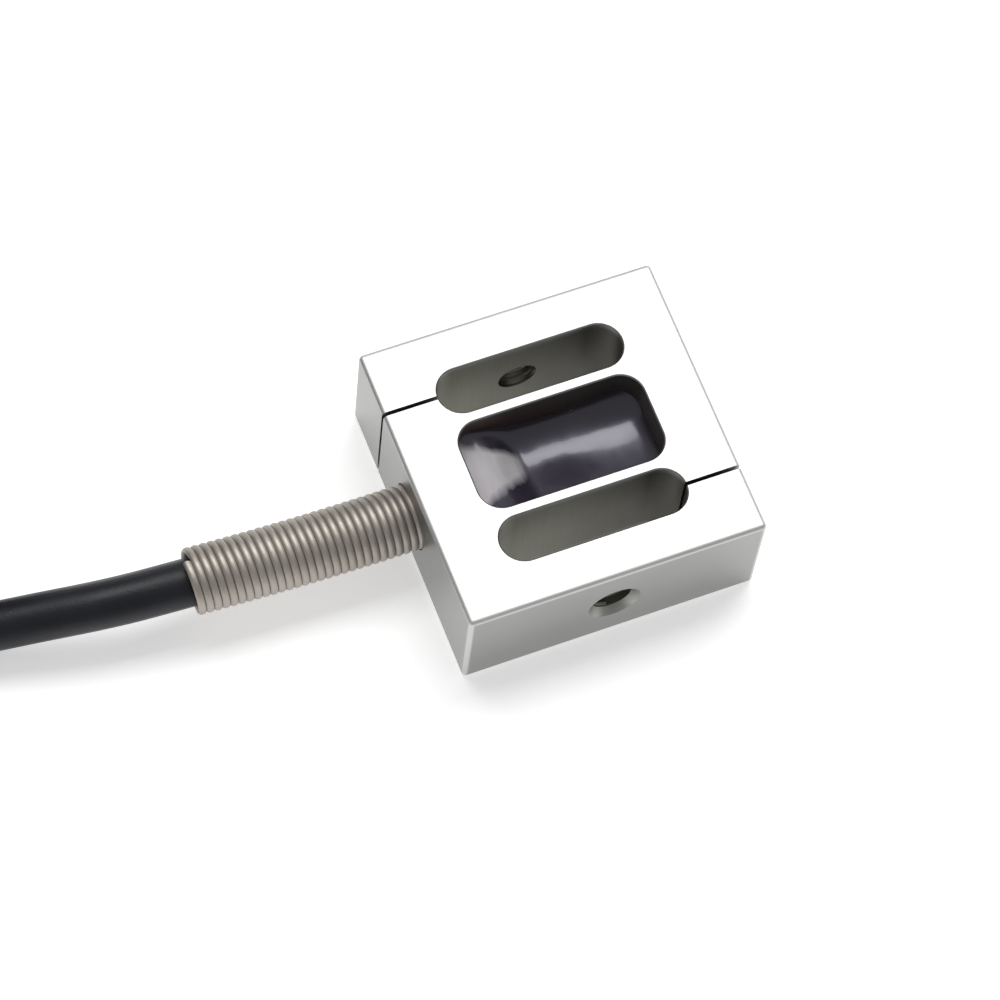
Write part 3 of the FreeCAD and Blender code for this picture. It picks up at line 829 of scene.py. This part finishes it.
def addShrink(end, finish, stand):
    work = bmesh.new()
    wide, narrow, lap = end["shrinkRadius"], end["shrinkEnd"], end["shrinkLap"]
    shoulder, reach = end["shoulder"], end["shrinkReach"]
    outline = [(end["shrinkBore"], -lap), (wide - 0.08, -lap), (wide, 0.12 - lap), (wide - 0.02, -lap / 2),
               (wide - 0.04, 0), (wide - 0.06, shoulder - 0.5), (wide - 0.14, shoulder + 0.1)]
    outline += end["neck"]
    outline += [(narrow, reach - 0.06), (narrow - 0.14, reach), (narrow - 0.3, reach - 0.25)]
    ring = [work.verts.new((radius, along, 0)) for radius, along in outline]
    for first, second in zip(ring, ring[1:]):
        work.edges.new((first, second))
    bmesh.ops.spin(work, geom=work.verts[:] + work.edges[:], cent=(0, 0, 0), axis=(0, 1, 0),
                   angle=2 * math.pi, steps=64, use_merge=True)
    bmesh.ops.remove_doubles(work, verts=work.verts, dist=0.0005)
    lengthwise = [edge for edge in work.edges if abs(edge.verts[0].co.y - edge.verts[1].co.y) > 0.3]
    bmesh.ops.subdivide_edges(work, edges=lengthwise, cuts=2, use_grid_fill=True)
    bmesh.ops.holes_fill(work, edges=[edge for edge in work.edges if edge.is_boundary], sides=0)
    bmesh.ops.recalc_face_normals(work, faces=work.faces)
    for vert in work.verts:  # drawn in between the cores towards its end
        share = ease((vert.co.y - shoulder) / (reach - shoulder))
        angle = math.atan2(vert.co.z, vert.co.x)
        lobes = 1 + end["lobes"] * share * (math.cos(4 * (angle - math.pi / 4)) - 0.4)
        spot = Vector((vert.co.x, vert.co.y * 0.6, vert.co.z)) * 1.6
        wrinkle = 1 + end["wrinkle"] * noise.noise(spot)
        vert.co.x *= lobes * wrinkle
        vert.co.z *= lobes * wrinkle
    bmesh.ops.transform(work, matrix=Matrix.Scale(mm, 4) @ stand, verts=work.verts)
    return toPiece("shrink", work, finish, "shrink", ("heat_shrink",))


def corePoints(number, end, stand):  # curling round with the coil and down onto it
    upper = number in (0, 3)
    low = end["coreDiameter"] / 2 - end["shrinkRadius"]
    heights = list(end["upperHeights"] if upper else end["lowerHeights"])
    heights += [low] * (len(end["coreBends"]) - len(heights))
    run = end["coreLength"] / len(heights)
    level = end["coreGap"] if upper else -end["coreGap"]
    x, y = end["coreSides"][number] * end["coreGap"], end["shrinkReach"]
    local = [(x, y - end["coreStart"], level), (x, y, level)]
    for share, height in zip(end["coreBends"], heights):
        heading = math.radians(end["coreTurns"][number] * share)
        x += run * math.sin(heading)
        y += run * math.cos(heading)
        local.append((x, y, height))
    return [stand @ Vector(point) for point in local]


def addTip(work, route, end):  # twisted strands, drawn on from their lobed outline
    heading = (route[-1] - route[-2]).normalized()
    facing = heading.to_track_quat("Z", "Y").to_matrix().to_4x4()
    verts = bmesh.ops.create_circle(work, cap_ends=True, segments=end["tipSides"],
                                    radius=end["tipDiameter"] / 2)["verts"]
    for vert in verts:
        angle = math.atan2(vert.co.y, vert.co.x)
        vert.co *= 0.9 + 0.1 * abs(math.cos(3 * angle))
    twist = Matrix.Rotation(math.radians(end["tipTwist"]), 3, "Z")
    grown = list(verts)
    face = next(iter({face for vert in verts for face in vert.link_faces}))
    for step in range(end["tipSteps"]):
        lift = bmesh.ops.extrude_face_region(work, geom=[face])
        lifted = [item for item in lift["geom"] if isinstance(item, bmesh.types.BMVert)]
        bmesh.ops.translate(work, vec=(0, 0, end["tipLength"] / end["tipSteps"]), verts=lifted)
        bmesh.ops.rotate(work, cent=(0, 0, 0), matrix=twist, verts=lifted)
        if step >= end["tipSteps"] - 2:  # drawn in at its end
            bmesh.ops.scale(work, vec=(0.9, 0.9, 1), verts=lifted)
        face = next(item for item in lift["geom"] if isinstance(item, bmesh.types.BMFace))
        grown += lifted
    start = route[-1] - heading * end["tipLap"]
    bmesh.ops.transform(work, matrix=Matrix.Translation(start) @ facing, verts=grown)


def addCores(end, stand, finishes, tinned):
    pieces = []
    tips = bmesh.new()
    for number, (name, finish) in enumerate(finishes.items()):
        points = corePoints(number, end, stand)
        core = splineCurve("core." + name, points, end["coreDiameter"], end["coreSmoothness"],
                           end["coreRounds"])
        pieces.append(settle(core, finish, "core_" + name, ("core_" + name,)))
        addTip(tips, points, end)
    bmesh.ops.recalc_face_normals(tips, faces=tips.faces)
    bmesh.ops.scale(tips, vec=(mm, mm, mm), verts=tips.verts)
    pieces.append(toPiece("tips", tips, tinned, "tinned", ("tinned_tips",)))
    return pieces


standAtEnd = endFrame(cableLine)
coreFinishes = {name: insulationFinish("insulation_" + name, tones)
                for name, tones in coreColours.items()}
shrinkPiece = addShrink(endSizes, shrinkFinish(), standAtEnd)
endPieces = addCores(endSizes, standAtEnd, coreFinishes, tinnedFinish())
print("bare end ready")

[springPiece, tiePiece, shrinkPiece] + endPieces


# What the potting hides: gauges, their leads, the bridge board, its resistor, the crimp sleeve
# and the inner cores

def foilFinish():
    finish = Finish("gauge_foil", {})
    lines = finish.node("ShaderNodeTexWave", {"wave_type": "BANDS", "bands_direction": "Z"},
                        {"Scale": 900.0, "Distortion": 0.0, "Vector": finish.place()})
    finish.feed({
        "Base Color": finish.blend(lines, (0.33, 0.13, 0.03), (0.62, 0.42, 0.22)),
        "Metallic": lines * 0.8,
        "Roughness": 0.34 + 0.1 * finish.grain(1800),
    })
    return finish


def boardFinish():
    finish = Finish("bridge_board", {"IOR": 1.5})
    weave = finish.grain(1600, 2, (1, 1, 0.3))
    finish.feed({
        "Base Color": finish.blend(weave, (0.01, 0.11, 0.04), (0.02, 0.19, 0.07)),
        "Roughness": 0.3 + 0.2 * weave,
        "Normal": finish.bump(weave, 0.00003, 0.4),
    })
    return finish


resistorSizes = {
    "place": 0.8,
    "caps": (0.5, 0.55),  # from its middle, where the body ends and the metal caps begin
}


def resistorFinish(resistor):
    finish = Finish("resistor_body", {"IOR": 1.5})
    ends = abs(finish.axis("X") - resistor["place"] * mm).spread(*inMm(resistor["caps"]))
    finish.feed({
        "Base Color": finish.blend(ends, (0.02, 0.02, 0.022), (0.66, 0.66, 0.64)),
        "Metallic": ends,
        "Roughness": 0.28 + 0.2 * finish.grain(2600),
    })
    return finish


def brassFinish():
    finish = Finish("sleeve_brass", {"Metallic": 1.0})
    cloud = finish.grain(1200, 3)
    finish.feed({
        "Base Color": finish.blend(cloud, (0.50, 0.33, 0.12), (0.66, 0.47, 0.20)),
        "Roughness": 0.28 + 0.2 * cloud,
        "Normal": finish.bump(cloud, 0.00004, 0.3),
    })
    return finish


foil, brass = foilFinish(), brassFinish()
for corner in ("upper_left", "upper_right", "lower_left", "lower_right"):
    dressNode("strain_gauge_" + corner, foil)
    dressNode("gauge_leads_" + corner, brass)
dressNode("bridge_board", boardFinish())
dressNode("balance_resistor", resistorFinish(resistorSizes))
dressNode("crimp_sleeve", brass)
for coreName, coreFinish in coreFinishes.items():
    dressNode("inner_core_" + coreName, coreFinish)
print("inner pieces ready")


# The studio: pale floor, a softbox over the block and soft light all round

studioSizes = {
    "floor": 3.0,
    "floorDrop": 0.02,  # below the block, in millimetres
    "floorGlow": 0.45,
    "key": {"toward": (0.218, 0.367, 0.904), "distance": 0.6, "long": 0.7, "wide": 0.3, "power": 3.1},
    "sky": 0.36,
}


def floorFinish(glow):
    finish = Finish("floor_acrylic", {"Roughness": 0.85, "Specular IOR Level": 0.15,
                                      "Emission Strength": glow})  # lit from below
    tone = finish.grain(9, 3)
    finish.feed({"Base Color": finish.blend(tone, (0.84, 0.84, 0.84), (0.87, 0.87, 0.87)),
                 "Emission Color": finish.blend(tone, (0.98, 0.98, 0.98), (1, 1, 1))})
    return finish


def addFloor(studio):
    work = bmesh.new()
    bmesh.ops.create_grid(work, x_segments=2, y_segments=2, size=studio["floor"])
    mesh = bpy.data.meshes.new("floor")
    work.to_mesh(mesh)
    work.free()
    floor = bpy.data.objects.new("floor", mesh)
    floor.location.z = -studio["floorDrop"] * mm
    bpy.context.scene.collection.objects.link(floor)
    floor.data.materials.append(floorFinish(studio["floorGlow"]).material)


def addSoftbox(name, box):
    data = bpy.data.lights.new(name, "AREA")
    data.shape = "RECTANGLE"
    data.size = box["long"]
    data.size_y = box["wide"]
    data.energy = box["power"]
    light = bpy.data.objects.new(name, data)
    toward = Vector(box["toward"]).normalized()
    across = toward.cross(Vector((1, 0, 0))).normalized()  # its long side lies along the block
    light.location = toward * box["distance"]
    light.rotation_euler = Matrix((across.cross(toward), across, toward)).transposed().to_euler()
    bpy.context.scene.collection.objects.link(light)


def addSky(strength):
    world = bpy.data.worlds.new("studio")
    bpy.context.scene.world = world
    world.use_nodes = True
    background = world.node_tree.nodes["Background"]
    background.inputs["Color"].default_value = (1, 1, 1, 1)
    background.inputs["Strength"].default_value = strength


addFloor(studioSizes)
addSoftbox("key", studioSizes["key"])
addSky(studioSizes["sky"])
print("studio ready")
